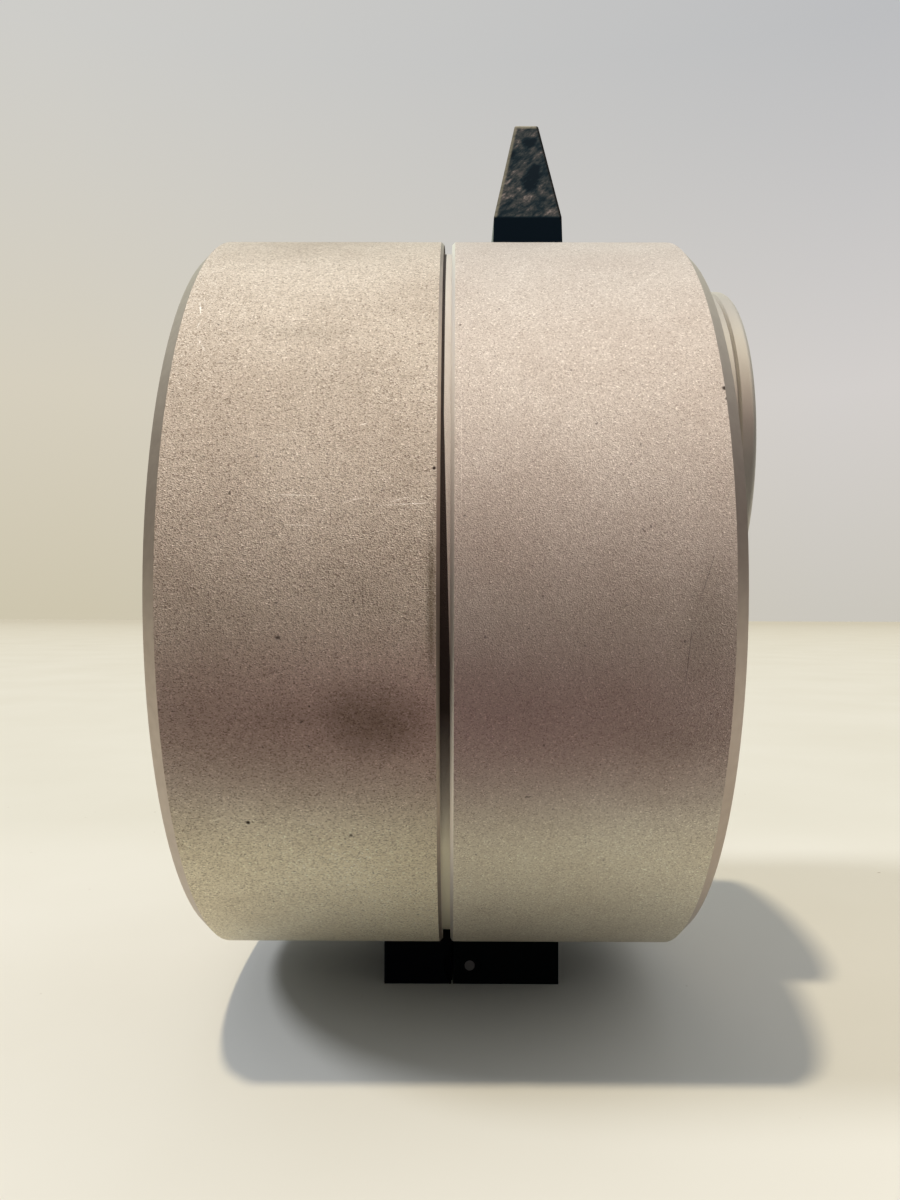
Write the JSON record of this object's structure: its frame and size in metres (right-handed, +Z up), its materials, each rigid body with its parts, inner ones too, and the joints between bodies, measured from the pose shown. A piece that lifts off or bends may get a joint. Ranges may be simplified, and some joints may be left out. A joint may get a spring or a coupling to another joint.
{
  "type": "watchman clock",
  "caption": "Portable watchman's clock in a two-part hinged metal drum, with an offset dial, strap lug, station key socket, rear lock and recording chart.",
  "frame": {"origin": "underside of the foot, below the middle of the seam between the two case halves", "axes": "+X along the drum's axis towards the dial, +Y across the drum away from the hinge pin's visible end, +Z up"},
  "size_m": [0.0923, 0.13, 0.1629],
  "materials": {
    "anodised_aluminium": "bead-blasted and satin anodised",
    "black_paint": "black paint, worn",
    "steel": "turned steel",
    "blued_steel": "blued",
    "brass": "lacquered",
    "nickel": "polished nickel plate",
    "enamel": "white enamel",
    "rubber": "moulded",
    "card": "uncoated card",
    "glass": "clear"
  },
  "bodies": {
    "case": {"front_case": "anodised_aluminium", "front_hinge_leaf": "black_paint", "hinge_pin": "steel", "front_leaf_screws": "steel", "strap_lug": "black_paint", "lug_bolt": "steel", "bezel_collar": "nickel", "bezel_ring": "nickel", "crystal": "glass", "dial_plate": "enamel", "minute_wheel_stud": "steel", "front_plate": "brass", "back_plate": "brass", "plate_pillars": "brass", "pillar_screws": "blued_steel", "movement_posts": "steel", "post_screws": "blued_steel", "click_cap": "nickel", "escapement_capsule": "nickel", "idler_stud": "steel", "chart_stud": "steel", "key_socket": "steel", "socket_nut": "steel", "socket_cap": "steel", "cover_screw": "steel", "plunger_spring": "steel", "lock_strike": "steel", "strike_screws": "blued_steel"},
    "rear_cover": {"rear_case": "anodised_aluminium", "rear_hinge_leaf": "black_paint", "rear_leaf_screws": "steel", "seal_ring": "rubber", "lock_body": "steel", "lock_nut": "steel", "platen_post": "anodised_aluminium", "platen_pad": "rubber"},
    "lock": {"lock_plug": "nickel", "lock_cam": "steel", "cam_screw": "steel"},
    "minute_arbor": {"centre_wheel": "brass", "cannon_pinion": "steel", "minute_hand": "blued_steel"},
    "hour_wheel_body": {"hour_wheel": "brass", "hour_hand": "blued_steel"},
    "minute_wheel_body": {"minute_wheel": "brass"},
    "barrel": {"mainspring_barrel": "brass", "barrel_cap": "brass", "mainspring": "blued_steel"},
    "winding": {"winding_arbor": "steel"},
    "third_arbor": {"third_wheel": "brass"},
    "chart_idler_body": {"chart_idler": "brass"},
    "chart_table": {"chart_wheel": "brass", "recording_chart": "card", "chart_nut": "nickel"},
    "key_cover": {"keyhole_cover": "nickel"},
    "plunger": {"marking_plunger": "steel"}
  },
  "joints": [
    {"name": "rear_cover_hinge", "type": "hinge", "parent": "case", "child": "rear_cover", "pos_m": [0.00415, 0, 0.0033], "axis": [0, -1, 0], "range_deg": [0, 90]},
    {"name": "lock_turn", "type": "hinge", "parent": "rear_cover", "child": "lock", "pos_m": [-0.02, 0, 0.1129], "axis": [1, 0, 0], "range_deg": [0, 90]},
    {"name": "minute_turn", "type": "hinge", "parent": "case", "child": "minute_arbor", "pos_m": [0, 0, 0.0969], "axis": [-1, 0, 0], "continuous": true},
    {"name": "hour_turn", "type": "hinge", "parent": "case", "child": "hour_wheel_body", "pos_m": [0, 0, 0.0969], "axis": [-1, 0, 0], "continuous": true},
    {"name": "minute_wheel_turn", "type": "hinge", "parent": "case", "child": "minute_wheel_body", "pos_m": [0, -0.012, 0.0969], "axis": [-1, 0, 0], "continuous": true},
    {"name": "barrel_turn", "type": "hinge", "parent": "case", "child": "barrel", "pos_m": [0, -0.018, 0.08608], "axis": [-1, 0, 0], "continuous": true},
    {"name": "third_turn", "type": "hinge", "parent": "case", "child": "third_arbor", "pos_m": [0, 0.01631, 0.08929], "axis": [-1, 0, 0], "continuous": true},
    {"name": "chart_idler_turn", "type": "hinge", "parent": "case", "child": "chart_idler_body", "pos_m": [0, 0.01066, 0.08782], "axis": [-1, 0, 0], "continuous": true},
    {"name": "chart_turn", "type": "hinge", "parent": "case", "child": "chart_table", "pos_m": [0, 0, 0.0709], "axis": [-1, 0, 0], "continuous": true},
    {"name": "winding_turn", "type": "hinge", "parent": "case", "child": "winding", "pos_m": [0, -0.018, 0.08608], "axis": [-1, 0, 0], "continuous": true},
    {"name": "key_cover_swing", "type": "hinge", "parent": "case", "child": "key_cover", "pos_m": [0, 0, 0.0399], "axis": [1, 0, 0], "range_deg": [0, 110]},
    {"name": "plunger_press", "type": "slide", "parent": "case", "child": "plunger", "axis": [-1, 0, 0], "range_m": [0, 0.0025], "stiffness_N_per_m": 400, "springref_m": -0.003, "deforming": ["plunger_spring"]}
  ],
  "couplings": [
    {"joint": "hour_turn", "follows": "minute_turn", "ratio": 0.083333},
    {"joint": "minute_wheel_turn", "follows": "minute_turn", "ratio": -0.33333},
    {"joint": "barrel_turn", "follows": "minute_turn", "ratio": -0.16667},
    {"joint": "third_turn", "follows": "minute_turn", "ratio": -8},
    {"joint": "chart_idler_turn", "follows": "minute_turn", "ratio": -0.16667},
    {"joint": "chart_turn", "follows": "minute_turn", "ratio": 0.041667}
  ]
}
